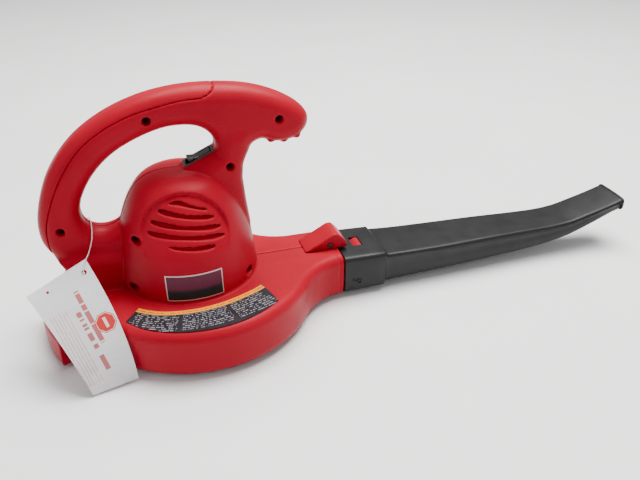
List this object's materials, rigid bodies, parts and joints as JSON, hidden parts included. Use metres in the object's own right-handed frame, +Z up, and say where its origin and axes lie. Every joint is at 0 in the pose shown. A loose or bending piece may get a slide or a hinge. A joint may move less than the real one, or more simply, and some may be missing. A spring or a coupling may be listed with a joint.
{
  "type": "leaf blower",
  "caption": "Hand-held corded leaf blower with a spiral fan housing, upright motor dome, D-shaped handle, rocker switch and a slide-on tube with a flat upturned tip.",
  "frame": {"origin": "on the floor under the middle of the blower's box, with the hang tag and its tie left out", "axes": "+X towards the tube's tip, +Y to the left of someone who stands behind it, +Z up"},
  "size_m": [0.632, 0.2088, 0.2306],
  "materials": {
    "red_plastic": "satin moulded red plastic with a fine texture",
    "black_plastic": "moulded black plastic",
    "tube_grey": "charcoal moulded plastic with a fine texture",
    "switch_black": "smooth black plastic",
    "rubber": "soft black rubber",
    "steel": "zinc-plated steel",
    "laminations": "stacked electrical steel",
    "copper": "enamelled copper",
    "brass": "plain brass",
    "carbon": "pressed carbon",
    "lead_black": "black PVC insulation",
    "lead_white": "white PVC insulation",
    "label": "printed film with an orange strip",
    "badge": "printed plate with a silver border",
    "card": "coated white card",
    "nylon": "clear nylon line"
  },
  "bodies": {
    "housing": {"housing_right": "red_plastic", "housing_left": "red_plastic", "grip_cover": "red_plastic", "latch_cover": "red_plastic", "screw_grip": "steel", "screw_nose": "steel", "screw_column": "steel", "screw_rear": "steel", "screw_dome_upper": "steel", "screw_dome_rear": "steel", "screw_dome_front": "steel", "base_plate": "black_plastic", "intake_guard": "black_plastic", "foot_1": "rubber", "foot_2": "rubber", "foot_3": "rubber", "foot_4": "rubber", "motor_plate": "black_plastic", "field_stack": "laminations", "field_coil_front": "copper", "field_coil_rear": "copper", "brush_holder_near": "black_plastic", "carbon_brush_near": "carbon", "brush_holder_far": "black_plastic", "carbon_brush_far": "carbon", "motor_bracket": "black_plastic", "bearing_lower": "steel", "bearing_upper": "steel", "switch_case": "black_plastic", "power_inlet": "black_plastic", "blade_live": "brass", "blade_neutral": "brass", "lead_inlet_to_switch": "lead_black", "lead_inlet_to_brush": "lead_white", "lead_switch_to_coil": "lead_black", "latch_cover_pin": "steel", "caution_label": "label", "badge_plate": "badge", "hang_tag": "card", "tag_tie": "nylon"},
    "rocker": {"rocker": "switch_black"},
    "rotor": {"shaft": "steel", "armature": "laminations", "commutator": "copper", "cooling_fan": "black_plastic", "impeller": "black_plastic", "fan_washer": "steel", "fan_nut": "steel"},
    "tube": {"blower_tube": "tube_grey"},
    "latch": {"latch_button": "red_plastic"}
  },
  "joints": [
    {"name": "rocker_tilt", "type": "hinge", "parent": "housing", "child": "rocker", "pos_m": [-0.15368, 0.0096, 0.15986], "axis": [0, -1, 0], "range_deg": [0, 22]},
    {"name": "rotor_spin", "type": "hinge", "parent": "housing", "child": "rotor", "pos_m": [-0.1745, 0.0096, 0.08], "axis": [0, 0, 1], "continuous": true},
    {"name": "tube_slide", "type": "slide", "parent": "housing", "child": "tube", "axis": [1, 0, 0], "range_m": [0, 0.045], "deforming": ["latch_button"]},
    {"name": "latch_press", "type": "slide", "parent": "housing", "child": "latch", "axis": [0, 0, -1], "range_m": [0, 0.004], "stiffness_N_per_m": 800, "springref_m": -0.001}
  ]
}
